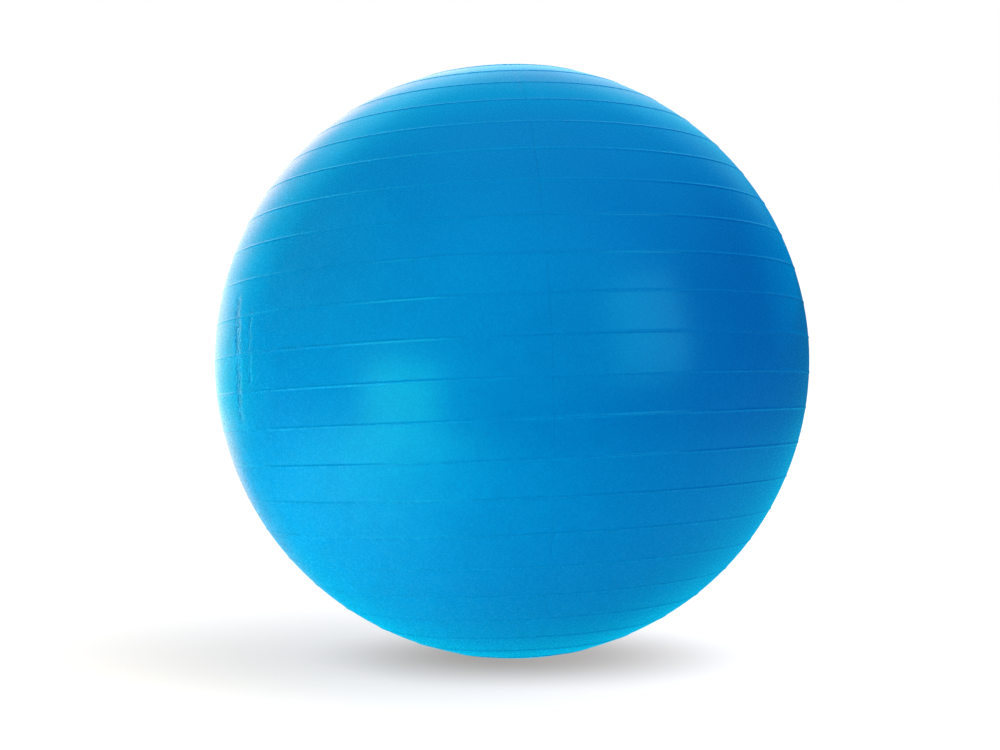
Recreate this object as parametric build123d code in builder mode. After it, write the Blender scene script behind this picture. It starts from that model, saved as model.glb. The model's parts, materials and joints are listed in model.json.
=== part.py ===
"""Exercise ball: a hollow soft PVC skin with raised grip rings, its valve seat and its push-in air plug.

Millimetres, +Z up. The origin is the centre of the ball, which stands on a small flat where its own weight
presses the skin against the ground. The ball has been set down with its moulded axis, the line through
the valve, leaning from the vertical.
"""

import os
from math import cos, degrees, radians, sin, sqrt

from build123d import *

# ---- Driving dimensions ----

# The skin
ball_diameter = 650.0  # over the plain skin, between the grip rings
wall = 1.0  # skin thickness when inflated
contact_radius = 36.0  # the round patch that rests on the ground

# How the ball lies: the valve's end of the moulded axis leans towards +Y and towards -X, in degrees
lean_back = 12.9
lean_side = 2.4

# Grip rings, placed by their distance along the skin from the equator of the moulded axis
ring_pitch = 37.55  # between the rings next to the equator
ring_offset = 9.6  # from the equator to the middle ring, towards the valve
ring_spread = 0.02  # ring n lies this times n cubed further out, because the skin stretches more there
ring_width = 2.4
ring_height = 0.5
plain_cap = 55.0  # radius along the skin of the plain cap at each pole

# The moulded collar that stiffens the skin around the valve
collar_distance = 22.0  # along the skin from the pole to the collar's crest
collar_width = 4.0
collar_height = 0.8

# Valve seat
seat_hole_radius = 12.0  # the hole in the skin
seat_depth = 0.6  # of the seat's face below the inside edge of that hole
flange_radius = 18.0
flange_thickness = 2.0
neck_radius = 8.0
neck_length = 16.0
bore_radius = 4.5
neck_fillet = 1.5
bore_chamfer = 0.5

# Air plug
head_clearance = 1.0  # around the head, inside the hole in the skin
head_thickness = 1.5
head_fillet = 0.4
dish_radius = 7.0  # the shallow dish in the head's outer face
dish_depth = 0.3
face_gap = 0.05  # between the head and the seat's face
stem_clearance = 0.05  # between the barbs' crests and the bore
stem_overhang = 2.5  # of the stem past the end of the neck
barbs = 3
barb_depth = 0.5
barb_pitch = 4.5
nose_radius = 3.2

# ---- Sizes and places worked out from them ----

ball_radius = ball_diameter / 2
inner_radius = ball_radius - wall
rest_height = sqrt(ball_radius**2 - contact_radius**2)  # from the ground to the centre

moulded_axis = Vector(0, 0, 1).rotate(Axis.X, -lean_back).rotate(Axis.Y, -lean_side)
across_axis = Vector(1, 0, 0) - moulded_axis * moulded_axis.X
valve_axis = Axis((0, 0, 0), moulded_axis)

# A half section of the ball: sketch X runs outwards from the moulded axis, sketch Y along it
section = Plane(origin=(0, 0, 0), x_dir=across_axis, z_dir=across_axis.cross(moulded_axis))

seat_face = sqrt(inner_radius**2 - seat_hole_radius**2) - seat_depth
neck_end = seat_face - flange_thickness - neck_length


def on_skin(distance, radius):
    """The section's point on a sphere, this far along the skin from the equator."""
    angle = distance / ball_radius
    return (radius * cos(angle), radius * sin(angle))


def on_sphere(out, radius):
    """The section's point on a sphere, this far out from the moulded axis, on the valve's side."""
    return (out, sqrt(radius**2 - out**2))


def arc_through(start, end, radius):
    """The middle of a sphere's arc from start to end in the section, to draw it through."""
    middle = Vector(*start) + Vector(*end)
    return middle.normalized() * radius


def is_circle(edge, radius):
    """Whether an edge is a circle of this radius."""
    return edge.geom_type == GeomType.CIRCLE and abs(edge.radius - radius) < 0.001


pole_distance = ball_radius * radians(90)
last_ring = int(pole_distance / ring_pitch)
ring_distances = [
    ring_offset + ring_pitch * n + ring_spread * n**3
    for n in range(-last_ring, last_ring + 1)
]
grip_rings = [d for d in ring_distances if abs(d) < pole_distance - plain_cap]

# Every raised ring from the bottom pole up: its distance, width and height
raised_rings = [(distance, ring_width, ring_height) for distance in grip_rings]
raised_rings.append((pole_distance - collar_distance, collar_width, collar_height))

# ---- The skin: the ringed outside, flattened where it stands, less the room for the air ----

with BuildPart() as air_room:
    Sphere(inner_radius)
    split(bisect_by=Plane.XY.offset(wall - rest_height), keep=Keep.TOP)

with BuildPart() as ball_skin:
    with BuildSketch(section):
        with BuildLine():
            bottom_pole = (0, -ball_radius)
            top_pole = (0, ball_radius)
            last = bottom_pole
            for distance, width, height in raised_rings:
                foot = on_skin(distance - width / 2, ball_radius)
                crest = on_skin(distance, ball_radius + height)
                far_foot = on_skin(distance + width / 2, ball_radius)
                ThreePointArc(last, arc_through(last, foot, ball_radius), foot)
                ThreePointArc(foot, crest, far_foot)
                last = far_foot
            ThreePointArc(last, arc_through(last, top_pole, ball_radius), top_pole)
            Line(top_pole, bottom_pole)
        make_face()
    revolve(axis=valve_axis)
    split(bisect_by=Plane.XY.offset(-rest_height), keep=Keep.TOP)
    add(air_room.part, mode=Mode.SUBTRACT)
    with BuildSketch(Plane(origin=moulded_axis * (ball_radius + wall), z_dir=moulded_axis)):
        Circle(seat_hole_radius)
    extrude(amount=-4 * wall, mode=Mode.SUBTRACT)

# ---- Valve seat: a flange bonded under the skin, and a neck with the filling bore ----

with BuildPart() as valve_seat:
    with BuildSketch(section):
        with BuildLine():
            hole_edge = on_sphere(seat_hole_radius, inner_radius)
            flange_edge = on_sphere(flange_radius, inner_radius)
            Polyline(
                hole_edge,
                (seat_hole_radius, seat_face),
                (bore_radius + bore_chamfer, seat_face),
                (bore_radius, seat_face - bore_chamfer),
                (bore_radius, neck_end),
                (neck_radius, neck_end),
                (neck_radius, seat_face - flange_thickness),
                (flange_radius, seat_face - flange_thickness),
                flange_edge,
            )
            ThreePointArc(flange_edge, arc_through(flange_edge, hole_edge, inner_radius), hole_edge)
        make_face()
    revolve(axis=valve_axis)
    neck_circles = valve_seat.edges().filter_by(lambda edge: is_circle(edge, neck_radius))
    fillet(neck_circles.sort_by(valve_axis)[-1], radius=neck_fillet)

# ---- Air plug: a thin dished head that lies flush in the skin, and a barbed stem in the bore ----

head_radius = seat_hole_radius - head_clearance
head_bottom = seat_face + face_gap
head_top = head_bottom + head_thickness
crest_radius = bore_radius - stem_clearance
root_radius = crest_radius - barb_depth
stem_tip = neck_end - stem_overhang

with BuildPart() as air_plug:
    with BuildSketch(section):
        with BuildLine():
            outline = [
                (0, head_top - dish_depth),
                (dish_radius - dish_depth, head_top - dish_depth),
                (dish_radius, head_top),
                (head_radius, head_top),
                (head_radius, head_bottom),
                (root_radius, head_bottom),
            ]
            for barb in range(barbs):
                crest_height = stem_tip + barb_pitch * (barbs - barb)
                outline.append((root_radius, crest_height))
                outline.append((crest_radius, crest_height))
                outline.append((root_radius, crest_height - barb_pitch / 2))
            outline.append((nose_radius, stem_tip))
            outline.append((0, stem_tip))
            Polyline(*outline, close=True)
        make_face()
    revolve(axis=valve_axis)
    head_circles = air_plug.edges().filter_by(lambda edge: is_circle(edge, head_radius))
    fillet(head_circles.sort_by(valve_axis)[-1], radius=head_fillet)

# ---- Write one STEP file for each piece ----

ball_skin.part.label = "ball_skin"
valve_seat.part.label = "valve_seat"
air_plug.part.label = "air_plug"

os.makedirs("parts", exist_ok=True)
export_step(ball_skin.part, "parts/ball_skin.step")
export_step(valve_seat.part, "parts/valve_seat.step")
export_step(air_plug.part, "parts/air_plug.step")

print("moulded axis:", moulded_axis)
print("grip rings at degrees:", [round(degrees(d / ball_radius), 2) for d in grip_rings])
print("rest height:", round(rest_height, 3))
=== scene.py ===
# %% [markdown]
# # An exercise ball, dressed for its portrait
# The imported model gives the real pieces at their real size: a hollow vinyl skin with raised grip rings,
# a valve seat under its pole and a push-in air plug. This notebook loads them as a fixed frame, models
# what the eye sees of each, gives them satin vinyl finishes, and lights them in a small white studio.
# Everything is in metres, with +Z up and the centre of the ball at the origin.

# %% Load the frame
import json
import math

import bpy
import numpy as np
from mathutils import Matrix, Vector, noise


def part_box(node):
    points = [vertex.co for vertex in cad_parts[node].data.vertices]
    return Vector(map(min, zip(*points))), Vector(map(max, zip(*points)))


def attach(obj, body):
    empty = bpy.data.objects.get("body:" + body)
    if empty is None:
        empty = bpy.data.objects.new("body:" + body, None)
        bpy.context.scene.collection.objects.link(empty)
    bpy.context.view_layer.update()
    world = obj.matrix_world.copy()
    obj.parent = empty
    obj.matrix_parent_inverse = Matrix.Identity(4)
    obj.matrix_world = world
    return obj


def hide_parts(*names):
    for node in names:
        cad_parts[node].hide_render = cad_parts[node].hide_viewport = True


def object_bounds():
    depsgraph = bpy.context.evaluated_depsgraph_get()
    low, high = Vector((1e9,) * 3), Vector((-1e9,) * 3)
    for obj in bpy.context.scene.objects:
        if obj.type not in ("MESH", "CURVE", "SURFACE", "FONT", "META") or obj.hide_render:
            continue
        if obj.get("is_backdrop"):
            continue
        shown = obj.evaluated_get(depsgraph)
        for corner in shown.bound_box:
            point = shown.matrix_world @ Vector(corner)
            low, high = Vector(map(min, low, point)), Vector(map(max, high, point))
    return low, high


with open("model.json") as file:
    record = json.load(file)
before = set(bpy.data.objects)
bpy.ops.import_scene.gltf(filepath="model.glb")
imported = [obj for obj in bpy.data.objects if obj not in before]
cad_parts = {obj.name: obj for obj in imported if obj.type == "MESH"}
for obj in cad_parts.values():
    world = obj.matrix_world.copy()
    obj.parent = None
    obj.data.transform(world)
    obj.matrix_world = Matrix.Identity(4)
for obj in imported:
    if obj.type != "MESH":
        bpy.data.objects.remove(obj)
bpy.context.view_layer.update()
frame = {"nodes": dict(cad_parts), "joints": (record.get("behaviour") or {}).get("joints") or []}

print("nodes:", sorted(frame["nodes"]))

# %% [markdown]
# ## Where things are
# The ball was moulded about an axis through its valve, and the air plug slides out along that same axis,
# so the joint tells us where it points. Two more directions across it make a frame of our own, in which
# every place on the skin is a latitude (up from the moulded equator) and a longitude.

# %% The moulded axis and places on the ball
ball_radius = 0.325
wall = 0.001
skin_low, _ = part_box("ball_skin")
rest_height = -skin_low.z

valve_up = Vector(frame["joints"][0]["axis"]).normalized()
across = (Vector((1, 0, 0)) - valve_up * valve_up.x).normalized()
moulded = Matrix((across, valve_up.cross(across), valve_up)).transposed()


def place(latitude, longitude):
    """The point of the unit sphere at this latitude and longitude about the moulded axis, in degrees."""
    up, turn = math.radians(latitude), math.radians(longitude)
    flat = math.cos(up)
    return moulded @ Vector((flat * math.cos(turn), flat * math.sin(turn), math.sin(up)))


print("the moulded axis points to", [round(v, 3) for v in valve_up])
print("the centre stands", round(rest_height * 1000, 1), "mm above the ground")

# %% [markdown]
# ## The camera
# The camera comes early, because the shapes are judged through it. It stands a little above the middle of
# the ball, about five ball radii away, and its frame is nudged so that the ball sits just off centre.

# %% Camera
camera_elevation = math.radians(10.5)
camera_distance = 4.88 * ball_radius
sensor_width = 36
ball_share = 0.2973  # the ball's radius in the picture, as a share of the picture's width
cotangent = math.sqrt((camera_distance / ball_radius) ** 2 - 1)  # of half the angle that the ball fills

camera_data = bpy.data.cameras.new("portrait")
camera = bpy.data.objects.new("portrait", camera_data)
bpy.context.scene.collection.objects.link(camera)
bpy.context.scene.camera = camera
towards_camera = Vector((0, -math.cos(camera_elevation), math.sin(camera_elevation)))
camera.location = towards_camera * camera_distance
camera.rotation_euler = towards_camera.to_track_quat("Z", "Y").to_euler()
camera_data.sensor_width = sensor_width
camera_data.lens = sensor_width * ball_share * cotangent
camera_data.shift_x = -0.012
camera_data.shift_y = -0.014
camera_data.clip_start, camera_data.clip_end = 0.05, 60
print("lens", round(camera_data.lens, 1), "mm at", round(camera_distance, 3), "m")

# %% [markdown]
# ## The skin's relief
# The skin is a closed shell. Its outside carries a grip ring about every 37 mm, each a low rounded ridge
# half a millimetre high, and a collar round the valve. A sphere primitive with a bump map would lose the
# ridges at the outline, so the relief is real: rows of vertices are packed where a ridge rises and left
# sparse between ridges.

# %% Grip rings and the rows of vertices that follow them
ring_pitch = 0.03755
ring_offset = 0.0096
ring_spread = 0.00002
ring_width = 0.0024
ring_height = 0.0005
plain_cap = 0.055
collar_distance = 0.022
collar_width = 0.004
collar_height = 0.0008
hole_radius = 0.012

pole_distance = ball_radius * math.pi / 2
last_ring = int(pole_distance / ring_pitch)
ring_numbers = range(-last_ring, last_ring + 1)
every_ring = [ring_offset + ring_pitch * n + ring_spread * n**3 for n in ring_numbers]
grip_rings = [d for d in every_ring if abs(d) < pole_distance - plain_cap]
raised = [(d, ring_width, ring_height) for d in grip_rings]
raised.append((pole_distance - collar_distance, collar_width, collar_height))

# The rows across a ridge, in half widths from its crest, and how far its soft feet reach
ridge_steps = (-1.9, -1.5, -1.15, -0.8, -0.5, -0.25, 0.0, 0.25, 0.5, 0.8, 1.15, 1.5, 1.9)
foot_reach = 1.5
rows_between = 3


def ridge_profile(share):
    """Height of a ridge from 0 to 1, at this share of its half width from the crest, with soft feet."""
    return np.clip(1 - (share / foot_reach) ** 2, 0, 1) ** 2


def row_distances():
    """Distances along the skin, from the bottom pole to the edge of the hole, for the rows."""
    rows = [-pole_distance]
    for distance, width, _ in raised:
        ridge = [distance + step * width / 2 for step in ridge_steps]
        gap = np.linspace(rows[-1], ridge[0], rows_between + 2)[1:-1]
        rows += [*gap, *ridge]
    hole_edge = ball_radius * math.acos(hole_radius / ball_radius)
    rows += [*np.linspace(rows[-1], hole_edge, rows_between)[1:]]
    return np.array(rows)


rows = row_distances()
print(len(grip_rings), "grip rings and", len(rows), "rows of vertices")

# %% [markdown]
# The two halves of the mould met along a meridian, and left a fine parting line there and another on the
# far side. The columns of vertices are evenly spaced, with a few extra ones beside each parting line, so
# that this line too is real relief. It comes and goes, because the mould closed better in some places.

# %% Columns of vertices, with extra ones at the parting line
parting_longitude = math.radians(-83.7)
parting_width = 0.0016
parting_depth = 0.00022
parting_steps = np.array([-1.5, -1.0, -0.5, 0.0, 0.5, 1.0, 1.5])  # in half widths from the line
even_columns = 200


def column_angles():
    """Longitudes of the columns, in radians."""
    beside = parting_steps * parting_width / 2 / ball_radius
    half_step = math.pi / even_columns
    even = parting_longitude + 2 * math.pi * np.arange(even_columns) / even_columns
    far = parting_longitude + math.pi
    keep = [a for a in even if abs(math.remainder(a - parting_longitude, math.pi)) > half_step]
    angles = [*keep, *(parting_longitude + beside), *(far + beside)]
    return np.array(sorted(a % (2 * math.pi) for a in angles))


columns = column_angles()
print(len(columns), "columns of vertices")

# %% [markdown]
# Stretched vinyl is never a perfect sphere. A few long, low swells, a fraction of a millimetre high, make
# the reflections wander a little, as they do on a real inflated ball. They're a sum of smooth noise, so
# they have no direction and no repeat.

# %% Heights of the skin above the plain sphere
# Each layer of swells: how closely they follow each other, their height, and where their noise starts
swell_layers = [
    (3.1, 0.00040, Vector((0, 0, 0))),
    (8.3, 0.00010, Vector((4, 1, 7))),
]

# The parting line's strength: its average, its swing about that, its least, and what the valve adds
parting_average = 0.3
parting_swing = 0.9
parting_least = 0.12
parting_more_at_valve = 0.45
parting_changes = 5.5  # how often the strength changes, for each radian of latitude
pole_fade = 20  # the line fades out where the latitude's cosine is less than one over this


def swell(point):
    """Height of the long low swells at a point of the unit sphere, in metres."""
    return sum(noise.noise(point * closeness + start) * height for closeness, height, start in swell_layers)


def parting_strength(latitude):
    """How plainly the parting line shows at this latitude in radians, from 0 to 1."""
    wander = noise.noise(Vector((latitude * parting_changes, 3.7, 0.0)))
    near_valve = parting_more_at_valve * max(0.0, math.sin(latitude))
    strength = parting_average + parting_swing * wander + near_valve
    fade_at_poles = min(1.0, math.cos(latitude) * pole_fade)
    return fade_at_poles * min(1.0, max(parting_least, strength))


def relief(rows, columns):
    """Height of the ridges, depth of the parting lines and height of the swells, at each row and column."""
    ridge, parting, swells = (np.zeros((len(rows), len(columns))) for _ in range(3))
    for distance, width, height in raised:
        ridge += height * ridge_profile((rows - distance) / (width / 2))[:, None]
    for i, distance in enumerate(rows):
        up = distance / ball_radius
        flat = math.cos(up)
        strength = parting_strength(up)
        for j, turn in enumerate(columns):
            off_line = abs(math.remainder(turn - parting_longitude, math.pi)) * ball_radius * flat
            groove = max(0.0, 1 - (off_line / parting_width * 2) ** 2)
            parting[i, j] = parting_depth * strength * groove
            swells[i, j] = swell(Vector((flat * math.cos(turn), flat * math.sin(turn), math.sin(up))))
    return ridge, parting, swells


ridge, parting, swells = relief(rows, columns)
heights = ridge - parting + swells
print("heights run from", round(heights.min() * 1000, 2), "to", round(heights.max() * 1000, 2), "mm")

# %% [markdown]
# The outside and the inside are two grids joined round the hole, with a single vertex at the bottom pole
# of each, so the shell is closed. Last, the bottom is pressed flat where the ball stands. The press is
# rounded off over a few millimetres, because the skin can't fold sharply.

# %% Build the skin
press_round = 0.0006  # about how high above the ground the smooth turn starts
inner_row_count = 48


def grid_points(rows, columns, heights):
    """Points of a grid on the ball, row by row, at these heights above the plain sphere."""
    latitude = (rows / ball_radius)[:, None]
    angle = columns[None, :]
    radius = ball_radius + heights
    local = np.stack(
        [
            radius * np.cos(latitude) * np.cos(angle),
            radius * np.cos(latitude) * np.sin(angle),
            radius * np.sin(latitude) * np.ones_like(angle),
        ],
        axis=-1,
    )
    return local @ np.array(moulded).T


def pressed(z, ground):
    """Heights z kept above the ground, with a smooth turn where they meet it."""
    return ground + press_round * np.logaddexp(0, (z - ground) / press_round)


def closed_shell(outer, inner):
    """Vertices and faces of the shell between two grids that share their columns."""
    height, width = outer.shape[:2]
    inner_height = inner.shape[0]
    points = [*outer[1:].reshape(-1, 3), *inner[1:].reshape(-1, 3), outer[0, 0], inner[0, 0]]
    outer_pole, inner_pole = len(points) - 2, len(points) - 1
    inner_start = (height - 1) * width
    faces = []
    for j in range(width):
        k = (j + 1) % width
        faces.append((outer_pole, k, j))
        faces.append((inner_pole, inner_start + j, inner_start + k))
        for i in range(height - 2):
            a, b = i * width, (i + 1) * width
            faces.append((a + j, a + k, b + k, b + j))
        for i in range(inner_height - 2):
            a, b = inner_start + i * width, inner_start + (i + 1) * width
            faces.append((a + j, b + j, b + k, a + k))
        rim, inner_rim = (height - 2) * width, inner_start + (inner_height - 2) * width
        faces.append((rim + j, rim + k, inner_rim + k, inner_rim + j))
    return points, faces


def mesh_object(name, points, faces):
    """A smooth-shaded mesh object with these vertices and faces."""
    mesh = bpy.data.meshes.new(name)
    mesh.from_pydata([tuple(p) for p in points], [], faces)
    mesh.update()
    for polygon in mesh.polygons:
        polygon.use_smooth = True
    made = bpy.data.objects.new(name, mesh)
    bpy.context.scene.collection.objects.link(made)
    return made


outer = grid_points(rows, columns, heights)
outer[..., 2] = pressed(outer[..., 2], -rest_height)
inner_rows = np.linspace(rows[0], rows[-1], inner_row_count)
inner = grid_points(inner_rows, columns, np.full((inner_row_count, len(columns)), -wall))
inner[..., 2] = pressed(inner[..., 2], wall - rest_height)
vinyl_skin = mesh_object("vinyl_skin", *closed_shell(outer, inner))
print("the skin has", len(vinyl_skin.data.polygons), "faces")

# %% [markdown]
# The finish needs to know where the ridges and the parting line are, to darken them a little with painted
# shade. Each is kept on the mesh as an attribute, a number from 0 to 1 at every vertex, which the material
# can read.

# %% Keep the ridges and the parting line as attributes


def keep_attribute(piece, name, values):
    """Stores one number for each vertex of the skin's outside. The inside keeps zero."""
    attribute = piece.data.attributes.new(name, "FLOAT", "POINT")
    on_outside = values[1:].ravel()
    everywhere = np.zeros(len(piece.data.vertices))
    everywhere[: len(on_outside)] = on_outside
    attribute.data.foreach_set("value", everywhere)
    print(name, "marks", int((everywhere > 0.5).sum()), "vertices")


keep_attribute(vinyl_skin, "ridge", np.clip(ridge / ring_height, 0, 1))
keep_attribute(vinyl_skin, "parting", parting / parting_depth)

# %% [markdown]
# ## Seat and plug, turned on a lathe
# The seat and the plug are round about the moulded axis, so each is an outline turned about it. The frame
# says how far each reaches along the axis and out from it. Real moulded corners are never sharp, so the
# outline's corners are rounded first, which also gives every edge its small highlight.

# %% Helpers that turn an outline into a piece


def reach(node):
    """How low and high a CAD node reaches along the moulded axis, and how far out from it."""
    points = [v.co for v in frame["nodes"][node].data.vertices]
    along = [p.dot(valve_up) for p in points]
    out = max((p - valve_up * p.dot(valve_up)).length for p in points)
    return min(along), max(along), out


def rounded(corners, steps=4):
    """An outline with its corners rounded. Each corner is (out, along, radius)."""
    line = []
    for i, (out, along, radius) in enumerate(corners):
        here = Vector((out, along))
        before, after = corners[i - 1], corners[(i + 1) % len(corners)]
        if radius == 0:
            line.append(here)
            continue
        start = here + (Vector(before[:2]) - here).normalized() * radius
        end = here + (Vector(after[:2]) - here).normalized() * radius
        for step in range(steps + 1):
            t = step / steps
            line.append(start * (1 - t) ** 2 + here * 2 * t * (1 - t) + end * t**2)
    return line


def lathe(name, outline, segments=128):
    """A closed piece turned about the moulded axis from an anticlockwise outline of (out, along) points."""
    points, faces, rings = [], [], []
    for out, along in outline:
        turns = [2 * math.pi * i / segments for i in range(segments)] if out > 0 else [0.0]
        rings.append(range(len(points), len(points) + len(turns)))
        points += [moulded @ Vector((out * math.cos(turn), out * math.sin(turn), along)) for turn in turns]
    for a, b in zip(rings, rings[1:] + rings[:1]):
        for i in range(segments):
            j = (i + 1) % segments
            corners = (a[i % len(a)], a[j % len(a)], b[j % len(b)], b[i % len(b)])
            distinct = list(dict.fromkeys(corners))
            if len(distinct) > 2:
                faces.append(distinct)
    print(name, "has", len(faces), "faces")
    return mesh_object(name, points, faces)


# %% [markdown]
# The seat is a flange bonded under the skin, with a neck that grips the plug. The plug is a thin head with
# a shallow dish, where a thumb pushes it home, and a stem with three barbs that snap past the bore. Its
# tip is tapered, so that it finds the hole, and the little step in the dish is where the mould was filled.

# %% Turn the valve seat
seat_depth = 0.0006  # of the seat's face below the inside edge of the hole
flange_thickness = 0.002
neck_radius = 0.008
bore_radius = 0.0045
below_skin = 0.00002  # of the flange's top edge, so that it never pokes through

neck_end, flange_top, flange_radius = reach("valve_seat")
inner_radius = ball_radius - wall
seat_face = math.sqrt(inner_radius**2 - hole_radius**2) - seat_depth
flange_bottom = seat_face - flange_thickness
flange_rim = math.sqrt(inner_radius**2 - flange_radius**2)

seat_outline = rounded(
    [
        (bore_radius, seat_face, 0.0005),
        (bore_radius, neck_end, 0.0004),
        (neck_radius, neck_end, 0.0006),
        (neck_radius, flange_bottom, 0.0015),
        (flange_radius, flange_bottom, 0.0005),
        (flange_radius, flange_rim, 0.0002),
        (hole_radius, flange_top - below_skin, 0.0),
        (hole_radius - 0.0002, seat_face, 0.0003),
    ]
)
seat_moulding = lathe("seat_moulding", seat_outline)

# %% Turn the air plug
tip, head_top, head_radius = reach("air_plug")
head_bottom = head_top - 0.0015
dish_rim, dish_foot, dish_floor = 0.0074, 0.0064, head_top - 0.0003
gate_foot, gate_rim, gate_top = 0.0014, 0.0010, dish_floor + 0.00012
nose_radius = 0.0032
crest_radius = bore_radius - 0.00005
root_radius = crest_radius - 0.0005
barb_pitch = 0.0045
barb_back = 0.00012  # from a barb's crest to the root behind it, along the stem

stem = [(0.0, tip, 0.0), (nose_radius, tip, 0.0008)]
for barb in (1, 2, 3):
    barb_crest = tip + barb_pitch * barb
    stem.append((root_radius, barb_crest - barb_pitch / 2, 0.0003))
    stem.append((crest_radius, barb_crest, 0.00018))
    stem.append((root_radius, barb_crest + barb_back, 0.0001))
head = [
    (root_radius, head_bottom, 0.0004),
    (head_radius, head_bottom, 0.0003),
    (head_radius, head_top, 0.0005),
    (dish_rim, head_top, 0.0005),
    (dish_foot, dish_floor, 0.0005),
    (gate_foot, dish_floor, 0.0003),
    (gate_rim, gate_top, 0.0002),
    (0.0, gate_top, 0.0),
]
plug_moulding = lathe("plug_moulding", rounded(stem + head))

# %% Each piece rides on its body and stands for its CAD node
pieces = [
    (vinyl_skin, "ball", "ball_skin", "skin_vinyl"),
    (seat_moulding, "ball", "valve_seat", "seat_vinyl"),
    (plug_moulding, "plug", "air_plug", "plug_vinyl"),
]
for piece, body, node, slot in pieces:
    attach(piece, body)
    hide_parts(node)

# %% [markdown]
# ## Finishes
# Every material below is wired from the same few effects, so each effect is a node group, made once and
# placed wherever it's needed with that piece's own numbers. Small helpers keep the wiring readable: the
# first adds a node and links whatever sockets it's given, and the others are built on it.

# %% Helpers for nodes


def add_node(tree, kind, inputs=None, **settings):
    """Adds a node. Each of its inputs is a plain value, or an output socket to link from."""
    node = tree.nodes.new("ShaderNode" + kind)
    for name, value in settings.items():
        setattr(node, name, value)
    for name, value in (inputs or {}).items():
        if isinstance(value, bpy.types.NodeSocket):
            tree.links.new(value, node.inputs[name])
        else:
            node.inputs[name].default_value = value
    return node


def sums(tree, operation, a, b=0.0, c=0.0, clamp=False):
    """The result of a Math node."""
    return add_node(tree, "Math", {0: a, 1: b, 2: c}, operation=operation, use_clamp=clamp).outputs[0]


def ramp(tree, value, low, high, to_low=0.0, to_high=1.0):
    """A smooth step: value from low to high becomes to_low to to_high."""
    sockets = {"Value": value, "From Min": low, "From Max": high, "To Min": to_low, "To Max": to_high}
    return add_node(tree, "MapRange", sockets, interpolation_type="SMOOTHSTEP").outputs[0]


def blend_colours(tree, share, a, b):
    """Colour a going over to colour b as share goes from 0 to 1."""
    return add_node(tree, "Mix", {0: share, 6: a, 7: b}, data_type="RGBA").outputs[2]


def new_group(name, inputs, outputs):
    """A node group with these sockets. Returns its tree, its inputs by name, and its output node."""
    tree = bpy.data.node_groups.new(name, "ShaderNodeTree")
    for socket, kind in inputs.items():
        tree.interface.new_socket(name=socket, in_out="INPUT", socket_type="NodeSocket" + kind)
    for socket, kind in outputs.items():
        tree.interface.new_socket(name=socket, in_out="OUTPUT", socket_type="NodeSocket" + kind)
    into = tree.nodes.new("NodeGroupInput").outputs
    return tree, into, tree.nodes.new("NodeGroupOutput")


def use_group(tree, name, inputs):
    """Places a node group and returns its outputs."""
    return add_node(tree, "Group", inputs, node_tree=bpy.data.node_groups[name]).outputs


# %% [markdown]
# **Fine grain.** The mould that forms such a ball is lightly blasted, so the vinyl comes out satin: under a
# lamp it's a field of tiny bumps. Two layers of noise do this, one about as wide as the size given and one
# three times wider, so that the grain doesn't look like sand.

# %% Node group: fine grain
wide_share = 0.15
wide_to_small = 0.31  # the wide layer's scale over the small one's

tree, into, out = new_group("fine_grain", {"Vector": "Vector", "Size": "Float"}, {"Height": "Float"})
per_metre = sums(tree, "DIVIDE", 1.0, into["Size"])
small = add_node(tree, "TexNoise", {"Vector": into["Vector"], "Scale": per_metre, "Detail": 2.0})
wide_scale = sums(tree, "MULTIPLY", per_metre, wide_to_small)
wide = add_node(tree, "TexNoise", {"Vector": into["Vector"], "Scale": wide_scale, "Detail": 2.0})
wide_part = sums(tree, "MULTIPLY", wide.outputs["Fac"], wide_share)
height = sums(tree, "MULTIPLY_ADD", small.outputs["Fac"], 1 - wide_share, wide_part)
tree.links.new(height, out.inputs["Height"])
print("made", tree.name)

# %% [markdown]
# **Cloudy colour.** Soft vinyl is never one even colour. Where it stretched thinner it's a little paler,
# and the pigment has faint clouds. The group takes the two colours and the size of the clouds.

# %% Node group: cloudy colour
sockets = {"Vector": "Vector", "Size": "Float", "Pale": "Color", "Deep": "Color"}
tree, into, out = new_group("cloudy_colour", sockets, {"Colour": "Color"})
per_metre = sums(tree, "DIVIDE", 1.0, into["Size"])
clouds = {"Vector": into["Vector"], "Scale": per_metre, "Detail": 3.0, "Roughness": 0.5}
cloud = add_node(tree, "TexNoise", clouds).outputs["Fac"]
share = ramp(tree, cloud, 0.3, 0.7)
tree.links.new(blend_colours(tree, share, into["Pale"], into["Deep"]), out.inputs["Colour"])
print("made", tree.name)

# %% [markdown]
# **Handling marks.** A ball that has been folded, shipped and rolled about has faint hairlines and rubbed
# patches. Hairlines are the edges of large cells, kept only where a second noise is high, so that they come
# out short and scattered. Rubbed patches are broad clouds of a finer noise.

# %% Node group: handling marks
bend = 0.02  # how far the cells' edges are moved, in metres
hairline_width = 0.014  # of a cell's size

sockets = {"Vector": "Vector", "Size": "Float"}
tree, into, out = new_group("handling_marks", sockets, {"Hairline": "Float", "Rub": "Float"})
per_metre = sums(tree, "DIVIDE", 1.0, into["Size"])
wander = add_node(tree, "TexNoise", {"Vector": into["Vector"], "Scale": per_metre, "Detail": 2.0})
wander_by = {0: wander.outputs["Color"], 1: (bend, bend, bend), 2: into["Vector"]}
moved = add_node(tree, "VectorMath", wander_by, operation="MULTIPLY_ADD").outputs[0]
cells = add_node(tree, "TexVoronoi", {"Vector": moved, "Scale": per_metre}, feature="DISTANCE_TO_EDGE")
edge = ramp(tree, cells.outputs["Distance"], 0.0, hairline_width, 1.0, 0.0)
breaks_scale = sums(tree, "MULTIPLY", per_metre, 2.3)
breaks = add_node(tree, "TexNoise", {"Vector": into["Vector"], "Scale": breaks_scale, "Detail": 1.0})
kept = ramp(tree, breaks.outputs["Fac"], 0.56, 0.66)
tree.links.new(sums(tree, "MULTIPLY", edge, kept), out.inputs["Hairline"])
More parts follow.
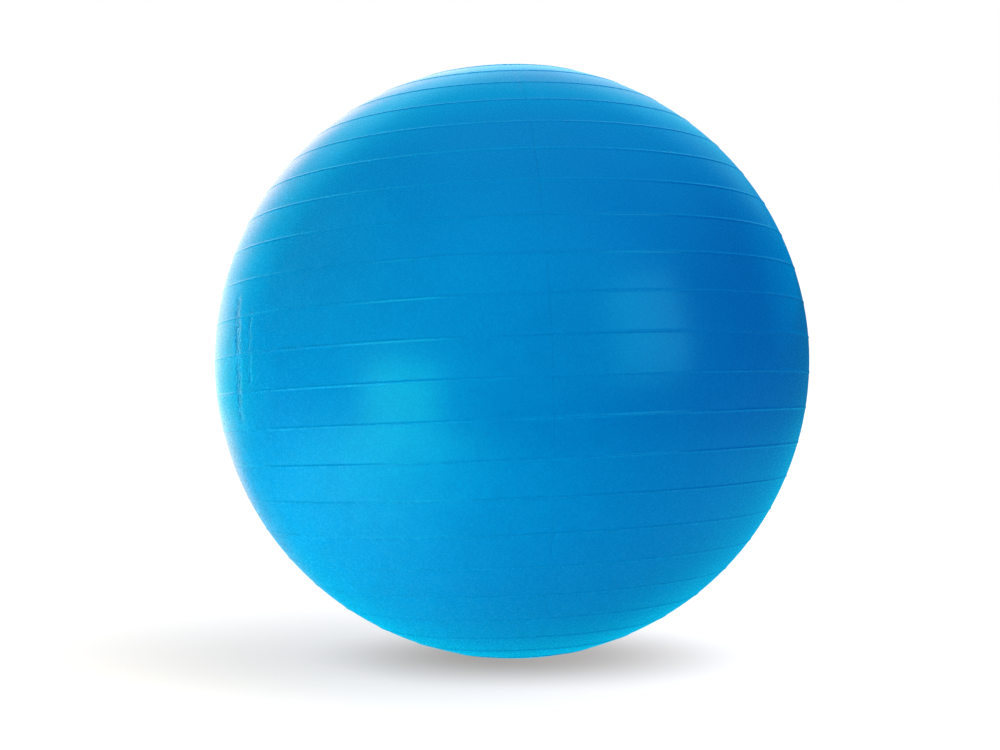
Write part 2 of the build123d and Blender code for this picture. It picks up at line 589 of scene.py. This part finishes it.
rub_scale = sums(tree, "MULTIPLY", per_metre, 1.4)
rubs = {"Vector": moved, "Scale": rub_scale, "Detail": 7.0, "Roughness": 0.7}
rub = add_node(tree, "TexNoise", rubs).outputs["Fac"]
tree.links.new(ramp(tree, rub, 0.5, 0.75), out.inputs["Rub"])
print("made", tree.name)

# %% [markdown]
# **A crease.** The ball comes folded in a box, and some folds never quite leave it. A crease is a short arc
# on the ball. The group measures how far a point lies across that arc and along it, adds a waver so that
# the line isn't ruled, and fades towards both ends.

# %% Node group: one crease


def measured(tree, a, b):
    """How far along direction b the point a lies."""
    return add_node(tree, "VectorMath", {0: a, 1: b}, operation="DOT_PRODUCT").outputs["Value"]


sockets = {
    "Vector": "Vector",
    "Waver": "Float",
    "Middle": "Vector",
    "Along": "Vector",
    "Across": "Vector",
    "Half Length": "Float",
    "Half Width": "Float",
}
tree, into, out = new_group("crease", sockets, {"Crease": "Float"})
wavered = sums(tree, "ADD", measured(tree, into["Vector"], into["Across"]), into["Waver"])
off = sums(tree, "ABSOLUTE", wavered)
beside = sums(tree, "SUBTRACT", 1.0, sums(tree, "DIVIDE", off, into["Half Width"]), clamp=True)
run = sums(tree, "ABSOLUTE", measured(tree, into["Vector"], into["Along"]))
within = sums(tree, "SUBTRACT", 1.0, sums(tree, "DIVIDE", run, into["Half Length"]), clamp=True)
within_soft = ramp(tree, within, 0.0, 0.5)
this_side = sums(tree, "GREATER_THAN", measured(tree, into["Vector"], into["Middle"]), 0.0)
masks = sums(tree, "MULTIPLY", sums(tree, "MULTIPLY", beside, within_soft), this_side)
tree.links.new(masks, out.inputs["Crease"])
print("made", tree.name)

# %% [markdown]
# The creases and nicks that this ball has, each from one end to the other as latitude and longitude, with
# its width in metres and how strong it is. Three long folds lie beside each other on the left. They're
# broad, because the vinyl there stayed crumpled. The rest are small nicks and scratches round the ball.

# %% Where the creases lie
creases = [
    ((13.4, -148.6), (-0.5, -146.2), 0.018, 2.2),
    ((1.5, -146.3), (-11.5, -148.3), 0.018, 2.0),
    ((11.0, -142.1), (-6.4, -142.1), 0.012, 1.2),
    ((41.2, -57.0), (35.2, -57.8), 0.0013, 0.8),
    ((36.6, -52.4), (35.5, -51.3), 0.0016, 0.9),
    ((39.4, -110.4), (36.6, -106.3), 0.0011, 0.5),
    ((14.5, -60.0), (12.5, -55.2), 0.001, 0.5),
    ((-19.6, -76.2), (-22.8, -69.5), 0.001, 0.5),
    ((-28.2, -57.9), (-29.6, -56.9), 0.0016, 0.8),
    ((28.0, 34.0), (14.0, 37.5), 0.0014, 0.8),
    ((-6.0, 88.0), (-17.0, 82.0), 0.0012, 0.6),
    ((47.0, 118.0), (40.0, 127.0), 0.0012, 0.7),
    ((-30.0, 150.0), (-27.0, 158.0), 0.001, 0.6),
    ((9.0, 171.0), (6.0, 163.0), 0.001, 0.5),
]


def place_crease(tree, where, waver, start, end, width):
    """One crease group, set to the arc between two places on the ball."""
    a, b = place(*start), place(*end)
    middle = (a + b).normalized()
    across = a.cross(b).normalized()
    arc = {
        "Vector": where,
        "Waver": waver,
        "Middle": middle,
        "Along": across.cross(middle),
        "Across": across,
        "Half Length": ball_radius * math.sin(a.angle(b) / 2),
        "Half Width": width / 2,
    }
    return use_group(tree, "crease", arc)["Crease"]


print(len(creases), "creases and nicks")

# %% [markdown]
# ## The skin's vinyl
# Azure vinyl with a satin face. Its gloss is coloured a little towards cyan, because light that grazes the
# grain also passes through pigment. The ridges, the parting line and the folds are darkened a little:
# painted shade that stands in for the shade of their relief, with a trace more on hairline scratches as
# wear. Roughness wanders with the grain and the rubbed patches. The folds are pressed into the surface by a
# bump, broken up by a noise so that they look crumpled.

# %% Helpers for materials


def new_material(name):
    """A material with an empty tree. Returns the material, its tree and where on the piece each point is."""
    made = bpy.data.materials.new(name)
    made.use_nodes = True
    made.node_tree.nodes.clear()
    return made, made.node_tree, add_node(made.node_tree, "TexCoord").outputs["Object"]


def finish_material(tree, surface, **constants):
    """Ends a material with one Principled shader. The constants' socket names are given with underscores."""
    inputs = {name.replace("_", " "): value for name, value in constants.items()}
    shader = add_node(tree, "BsdfPrincipled", {**inputs, **surface})
    add_node(tree, "OutputMaterial", {"Surface": shader.outputs[0]})


# %% Skin material
vinyl_ior = 1.5
azure = (0.0, 0.255, 0.67, 1)
deep_azure = (0.0, 0.24, 0.645, 1)
# Painted shade on the ridges, the parting line and the creases, and a trace of wear on hairlines
shade_and_wear_azure = (0.0, 0.165, 0.5, 1)
ridge_shade_tint, parting_shade_tint, fold_shade_and_wear_tint = 0.16, 0.7, 0.25
hairline_depth = 0.1  # as a share of a fold's
waver_by = 0.004  # a fold wavers this much to each side
waver_scale, crumple_scale = 70.0, 210.0
grain_depth, fold_depth = 0.000032, 0.0005
smoothest, roughest, rubbed = 0.25, 0.29, 0.03

skin_finish, tree, where = new_material("azure_satin_vinyl")
grain = use_group(tree, "fine_grain", {"Vector": where, "Size": 0.0016})["Height"]
clouds = {"Vector": where, "Size": 0.11, "Pale": azure, "Deep": deep_azure}
colour = use_group(tree, "cloudy_colour", clouds)["Colour"]
marks = use_group(tree, "handling_marks", {"Vector": where, "Size": 0.13})
on_ridge = add_node(tree, "Attribute", attribute_name="ridge").outputs["Fac"]
on_parting = add_node(tree, "Attribute", attribute_name="parting").outputs["Fac"]

folded = sums(tree, "MULTIPLY", marks["Hairline"], hairline_depth)
wandering = {"Vector": where, "Scale": waver_scale, "Detail": 3.0, "Roughness": 0.6}
wander = add_node(tree, "TexNoise", wandering)
waver = sums(tree, "MULTIPLY_ADD", wander.outputs["Fac"], 2 * waver_by, -waver_by)
crumple = add_node(tree, "TexNoise", {"Vector": where, "Scale": crumple_scale, "Detail": 2.0})
crumpled = ramp(tree, crumple.outputs["Fac"], 0.4, 0.6, 0.15, 1.0)
for start, end, width, strength in creases:
    crease = place_crease(tree, where, waver, start, end, width)
    worked = sums(tree, "MULTIPLY", crumpled, strength)
    folded = sums(tree, "MAXIMUM", folded, sums(tree, "MULTIPLY", crease, worked))

# Painted shade: the relief's darkening is blended into the base colour, with a trace of wear on hairlines
shade_and_wear_share = sums(tree, "MULTIPLY", on_ridge, ridge_shade_tint)
shade_and_wear_share = sums(tree, "MAXIMUM", shade_and_wear_share, sums(tree, "MULTIPLY", on_parting, parting_shade_tint))
shade_and_wear_share = sums(tree, "MAXIMUM", shade_and_wear_share, sums(tree, "MULTIPLY", folded, fold_shade_and_wear_tint))
colour_with_painted_shade = blend_colours(tree, shade_and_wear_share, colour, shade_and_wear_azure)
rough = ramp(tree, grain, 0.3, 0.7, smoothest, roughest)
rough = sums(tree, "MULTIPLY_ADD", marks["Rub"], rubbed, rough)
grain_bump = add_node(tree, "Bump", {"Height": grain, "Distance": grain_depth})
over_grain = {"Height": folded, "Distance": fold_depth, "Normal": grain_bump.outputs[0]}
fold_bump = add_node(tree, "Bump", over_grain, invert=True)
finish_material(
    tree,
    {"Base Color": colour_with_painted_shade, "Roughness": rough, "Normal": fold_bump.outputs[0]},
    IOR=vinyl_ior,
    Specular_Tint=(0.02, 1.0, 0.8, 1),
)
vinyl_skin.data.materials.append(skin_finish)
print(skin_finish.name, "has", len(tree.nodes), "nodes")

# %% [markdown]
# ## The seat and the plug
# The seat is the same vinyl cast thicker, so it's deeper in colour and a little glossier. The plug is a
# white polythene: slightly waxy, yellowing in clouds, and scuffed by fingernails.

# %% Seat material
thick_azure = (0.0, 0.2, 0.5, 1)
deep_thick_azure = (0.0, 0.14, 0.4, 1)

seat_finish, tree, where = new_material("thick_azure_vinyl")
clouds = {"Vector": where, "Size": 0.02, "Pale": thick_azure, "Deep": deep_thick_azure}
colour = use_group(tree, "cloudy_colour", clouds)["Colour"]
grain = use_group(tree, "fine_grain", {"Vector": where, "Size": 0.0007})["Height"]
marks = use_group(tree, "handling_marks", {"Vector": where, "Size": 0.012})
rough = ramp(tree, grain, 0.4, 0.9, 0.28, 0.36)
rough = sums(tree, "MULTIPLY_ADD", marks["Rub"], 0.1, rough)
bump = add_node(tree, "Bump", {"Height": grain, "Distance": 0.00003})
finish_material(
    tree,
    {"Base Color": colour, "Roughness": rough, "Normal": bump.outputs[0]},
    IOR=vinyl_ior,
    Specular_Tint=(0.2, 1.0, 0.85, 1),
)
seat_moulding.data.materials.append(seat_finish)
print(seat_finish.name, "has", len(tree.nodes), "nodes")

# %% Plug material
fresh_white = (0.83, 0.83, 0.81, 1)
yellowed_white = (0.76, 0.75, 0.69, 1)
grime = (0.42, 0.42, 0.4, 1)

plug_finish, tree, where = new_material("white_polythene")
clouds = {"Vector": where, "Size": 0.009, "Pale": fresh_white, "Deep": yellowed_white}
colour = use_group(tree, "cloudy_colour", clouds)["Colour"]
grain = use_group(tree, "fine_grain", {"Vector": where, "Size": 0.0005})["Height"]
marks = use_group(tree, "handling_marks", {"Vector": where, "Size": 0.006})
scuffs = sums(tree, "MULTIPLY", marks["Hairline"], 0.5)
worn = blend_colours(tree, scuffs, colour, grime)
rough = sums(tree, "MULTIPLY_ADD", marks["Rub"], 0.16, ramp(tree, grain, 0.4, 0.9, 0.3, 0.38))
grain_bump = add_node(tree, "Bump", {"Height": grain, "Distance": 0.00002})
over_grain = {"Height": marks["Hairline"], "Distance": 0.00004, "Normal": grain_bump.outputs[0]}
scratched = add_node(tree, "Bump", over_grain, invert=True)
finish_material(
    tree,
    {"Base Color": worn, "Roughness": rough, "Normal": scratched.outputs[0]},
    IOR=1.51,
    Subsurface_Weight=0.15,
    Subsurface_Scale=0.002,
)
plug_moulding.data.materials.append(plug_finish)
print(plug_finish.name, "has", len(tree.nodes), "nodes")

# %% [markdown]
# ## The floor
# A pale floor that the camera sees as white, except where the ball's shadow falls. What the camera sees is
# a dull colour lit by the lamps, with their cast shadow, plus some light of the floor's own. That light is
# lowered around the ball's foot and towards its left as a painted shadow, so the shadow stays soft and grey
# and the open floor reaches white. At the foot the painted shadow is also a trace warmer, to balance the
# blue that the ball throws on the floor.
#
# Light that bounces off the floor sees a plain pale colour. The ball's gloss sees a studio sweep: glows in
# front and behind, and the brightest far behind on the left. A few reddish hazes lie behind too. At a
# glancing angle the gloss mixes them with the cyan ones, and that makes the ball's left edge whitish.

# %% Helpers for the stage


def distance_from(tree, where, centre, stretch):
    """How far a place on the floor is from a centre, with each axis stretched by its own factor."""
    moved = add_node(tree, "VectorMath", {0: where, 1: centre}, operation="SUBTRACT").outputs[0]
    scaled = add_node(tree, "VectorMath", {0: moved, 1: stretch}, operation="MULTIPLY").outputs[0]
    return add_node(tree, "VectorMath", {0: scaled}, operation="LENGTH").outputs["Value"]


def facing(tree, where, towards, low, high):
    """How much a direction or place lies this way, from 0 to 1."""
    heading = add_node(tree, "VectorMath", {0: where}, operation="NORMALIZE").outputs[0]
    this_way = {0: heading, 1: Vector(towards).normalized()}
    share = add_node(tree, "VectorMath", this_way, operation="DOT_PRODUCT").outputs["Value"]
    return ramp(tree, share, low, high)


def add_glow(tree, total, share, colour):
    """Adds share times this colour to a total of glows."""
    return add_node(tree, "VectorMath", {0: share, 1: colour, 2: total}, operation="MULTIPLY_ADD").outputs[0]


# %% Floor
floor_half = 8.0
bpy.ops.mesh.primitive_plane_add(size=2 * floor_half, location=(0, 0, -rest_height))
floor = bpy.context.object
floor.name = "studio_floor"
floor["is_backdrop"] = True
print("the floor is", 2 * floor_half, "m across")

# %% The floor's colours and the ball's painted shadow on it
floor_bounce = (0.8, 0.8, 0.8, 1)
floor_in_gloss = (0.04, 0.66, 0.78, 1)
floor_seen = (0.34, 0.26, 0.2, 1)
own_white = (0.985, 1.0, 1.015)
painted_shadow_warmth = (0.06, 0.0, -0.07)

# The painted shadow is a core at the front of the foot, wider than it's deep, and a tail drawn out to the
# left
core_centre, core_stretch = (0.028, -0.061, 0), (1, 2.6, 0)
core_starts, core_ends, core_depth = 0.04, 0.28, 0.45
tail_centre, tail_stretch = (-0.245, -0.073, 0), (0.4, 1, 0)
tail_ends, tail_depth = 0.235, 0.32

floor_finish, tree, where = new_material("pale_floor")
rays = add_node(tree, "LightPath").outputs
seen = sums(tree, "MAXIMUM", rays["Is Camera Ray"], rays["Is Transmission Ray"])
from_core = distance_from(tree, where, core_centre, core_stretch)
from_tail = distance_from(tree, where, tail_centre, tail_stretch)
painted_core_shadow = ramp(tree, from_core, core_starts, core_ends, core_depth, 0.0)
painted_tail_shadow = ramp(tree, from_tail, 0.0, tail_ends, tail_depth, 0.0)
painted_shadow = sums(tree, "ADD", painted_core_shadow, painted_tail_shadow)
own_light_less_painted_shadow = sums(tree, "SUBTRACT", 1.0, painted_shadow)
print("made", floor_finish.name, "and its shadow")

# %% The sweep that the gloss sees on the floor
behind_left = (-0.6, 0.8, 0)

# Distances from the foot between which one part of the sweep fades into the next
near_fades, far_full = 0.5, 1.5
foot_fades, foot_gone = 0.35, 0.7
ring_fades, ring_gone = 0.9, 1.5

from_ball = distance_from(tree, where, (0, 0, 0), (1, 1, 0))
beyond = ramp(tree, from_ball, near_fades, far_full)
close = ramp(tree, from_ball, near_fades, far_full, 1.0, 0.0)
in_front = sums(tree, "MULTIPLY", close, facing(tree, where, (0, -1, 0), -0.4, 0.4))
at_foot = ramp(tree, from_ball, foot_fades, foot_gone, 1.0, 0.0)
off_foot = sums(tree, "SUBTRACT", 1.0, at_foot)
in_ring = sums(tree, "MULTIPLY", off_foot, ramp(tree, from_ball, ring_fades, ring_gone, 1.0, 0.0))

# Each glow: the part of the floor it keeps to, the way it lies with the cosines between which it fades in,
# and its colour
sweep_glows = [
    (beyond, behind_left, 0.6, 0.9, (0.0, 1.5, 1.35)),
    (beyond, (-0.45, 0.9, 0), 0.9, 0.975, (0.07, 0.5, 0.4)),
    (in_ring, behind_left, 0.85, 0.95, (0.94, 0.4, 0.05)),
    (off_foot, (-0.3, 0.95, 0), 0.85, 0.97, (1.45, 0.0, 0.0)),
    (off_foot, behind_left, 0.93, 0.96, (0.36, 0.0, 0.0)),
    (at_foot, behind_left, 0.6, 0.9, (0.35, 0.1, 0.0)),
]
sweep = add_glow(tree, (0, 0, 0), in_front, (0.0, 1.0, 1.2))
sweep = add_glow(tree, sweep, sums(tree, "SUBTRACT", close, in_front), (0.0, 0.62, 0.8))
for zone, towards, low, high, colour in sweep_glows:
    share = sums(tree, "MULTIPLY", zone, facing(tree, where, towards, low, high))
    sweep = add_glow(tree, sweep, share, colour)
print("the sweep has", 2 + len(sweep_glows), "glows")

# %% Floor material
glow = add_glow(tree, (0, 0, 0), rays["Is Glossy Ray"], sweep)
# What the camera sees: the floor's own light, lowered by the painted shadow, and that shadow's warmth
glow = add_glow(tree, glow, sums(tree, "MULTIPLY", seen, own_light_less_painted_shadow), own_white)
glow = add_glow(tree, glow, sums(tree, "MULTIPLY", seen, painted_core_shadow), painted_shadow_warmth)
floor_colour = blend_colours(tree, rays["Is Glossy Ray"], floor_bounce, floor_in_gloss)
floor_colour = blend_colours(tree, seen, floor_colour, floor_seen)
finish_material(
    tree,
    {"Base Color": floor_colour, "Emission Color": glow},
    Roughness=1.0,
    Specular_IOR_Level=0.0,
    Emission_Strength=1.0,
)
floor.data.materials.append(floor_finish)
print(floor_finish.name, "has", len(tree.nodes), "nodes")

# %% [markdown]
# ## The studio around it
# The camera sees the background as plain white. The ball's gloss sees a room: a bright wall behind it on
# the left, a faint one behind on the right, a pale ceiling, and the open side of the room in front. To the
# ball's right nothing is lit, which is why that side looks deep. The narrow glows behind, mainly red, go on
# where the floor's hazes end. Apart from what the gloss sees, the room gives a low fill from above.

# %% World
# Each glow: the way it lies, the cosines between which it fades in, and its colour
room_glows = [
    ((-0.5, 0.85, 0.05), 0.72, 0.85, (0.0, 1.3, 1.7)),  # the wall behind on the left
    ((-0.3, 0.85, 0.4), 0.72, 0.85, (0.0, 0.5, 0.45)),  # and above it
    ((0.45, 0.88, 0.05), 0.75, 0.88, (0.0, 0.4, 0.75)),  # the wall behind on the right
    ((-0.9, -0.08, 0.42), 0.84, 0.95, (0.0, 0.74, 0.65)),  # the side wall on the left
    ((0.0, 0.0, 1.0), 0.3, 0.9, (0.0, 1.6, 2.3)),  # the ceiling
    ((0.0, -0.1, 1.0), 0.88, 0.97, (0.0, 0.36, 0.5)),  # and its middle
    ((0.0, -1.0, 0.2), 0.3, 0.9, (1.6, 1.58, 1.56)),  # the open side in front
    # The narrow ones behind
    ((-0.45, 0.9, 0.0), 0.92, 0.985, (0.95, 0.16, 0.0)),
    ((-0.4, 0.85, 0.35), 0.92, 0.985, (0.38, 0.0, 0.0)),
    ((-0.25, 0.95, 0.1), 0.95, 0.99, (1.1, 0.22, 0.0)),
    ((0.0, 1.0, 0.12), 0.95, 0.99, (0.42, 0.0, 0.0)),
    ((0.0, 0.93, 0.38), 0.94, 0.99, (0.5, 0.0, 0.0)),
    ((0.35, 0.87, 0.35), 0.94, 0.99, (0.11, 0.5, 0.5)),
]
fill_strength = 0.52
fill_colour = (0.62, 0.72, 1, 1)

world = bpy.data.worlds.new("white_studio")
bpy.context.scene.world = world
world.use_nodes = True
tree = world.node_tree
tree.nodes.clear()
rays = add_node(tree, "LightPath").outputs
direction = add_node(tree, "TexCoord").outputs["Generated"]
room = (0, 0, 0)
for towards, low, high, colour in room_glows:
    room = add_glow(tree, room, facing(tree, direction, towards, low, high), colour)
from_above = sums(tree, "MULTIPLY", facing(tree, direction, (0, 0, 1), -0.1, 1.0), fill_strength)
shows_white = sums(tree, "MAXIMUM", rays["Is Camera Ray"], rays["Is Transmission Ray"])
fill = add_node(tree, "Background", {"Color": fill_colour, "Strength": from_above})
gloss = add_node(tree, "Background", {"Color": room, "Strength": 1.0})
white = add_node(tree, "Background", {"Color": (1, 1, 1, 1), "Strength": 1.0})
lit = add_node(tree, "MixShader", {0: rays["Is Glossy Ray"], 1: fill.outputs[0], 2: gloss.outputs[0]})
shown = add_node(tree, "MixShader", {0: shows_white, 1: lit.outputs[0], 2: white.outputs[0]})
add_node(tree, "OutputWorld", {"Surface": shown.outputs[0]})
print("made", world.name, "with", len(room_glows), "glows")

# %% [markdown]
# ## The lamps
# Each lamp is a softbox. Its place is given by how far round and how high it stands as seen from the ball,
# where 0 is straight in front and negative turns are to the left. The key and the side lamp make the ball's
# two highlights, and a low strip draws the left one downwards. The next three give broad light, one of them
# from behind so that the back isn't dark. The last hangs low over the floor in front on the left and shines
# straight down, so that the floor throws its light back up under the ball.

# %% Softboxes


def softbox(name, turn, rise, distance, size, power, colour):
    """An area lamp facing the ball, with its turn and rise in degrees and its power in watts."""
    lamp = bpy.data.lights.new(name, "AREA")
    lamp.shape = "RECTANGLE"
    lamp.size, lamp.size_y = size
    lamp.energy, lamp.color = power, colour
    made = bpy.data.objects.new(name, lamp)
    bpy.context.scene.collection.objects.link(made)
    around, up = math.radians(turn), math.radians(rise)
    flat = math.cos(up)
    away = Vector((math.sin(around) * flat, -math.cos(around) * flat, math.sin(up)))
    made.location = away * distance
    made.rotation_euler = away.to_track_quat("Z", "Y").to_euler()
    made.visible_camera = False
    print(name, "gives", power, "W")
    return made


green_tint = (0.9, 1.0, 0.74)
softbox("key", turn=-36, rise=-3.3, distance=1.6, size=(0.74, 0.66), power=7.4, colour=green_tint)
softbox("side", turn=48, rise=17.5, distance=1.6, size=(0.74, 0.84), power=5.3, colour=(0.68, 0.74, 1.0))
softbox("low_strip", turn=-30, rise=-15, distance=1.05, size=(0.9, 0.08), power=0.7, colour=green_tint)

# The gloss sees the room's own glows instead of these three
broad_lamps = [
    softbox("top", turn=0, rise=85, distance=1.9, size=(1.6, 1.6), power=4.2, colour=(0.72, 0.76, 1.0)),
    softbox("left_wall", turn=-85, rise=25, distance=1.9, size=(1.8, 1.2), power=5, colour=(0.9, 1, 0.76)),
    softbox("behind", turn=165, rise=28, distance=1.9, size=(1.4, 1.2), power=5.5, colour=(0.9, 0.95, 1.0)),
]
for lamp in broad_lamps:
    lamp.visible_glossy = False

# The last one doesn't face the ball, so it's moved over the floor and turned to shine straight down
wash = softbox("floor_wash", turn=0, rise=0, distance=1, size=(0.5, 0.5), power=6.7, colour=green_tint)
wash.location = (-0.65, -0.68, 0.4)
wash.rotation_euler = (0, 0, 0)
wash.data.spread = math.radians(80)

# %% [markdown]
# Last come the settings that decide how the picture is made from the light, and the model's size: its box
# as modelled here.

# %% Settings and sizes
bpy.context.scene.view_settings.view_transform = "Standard"
low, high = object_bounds()
print("the model is", [round(v, 4) for v in high - low], "m")
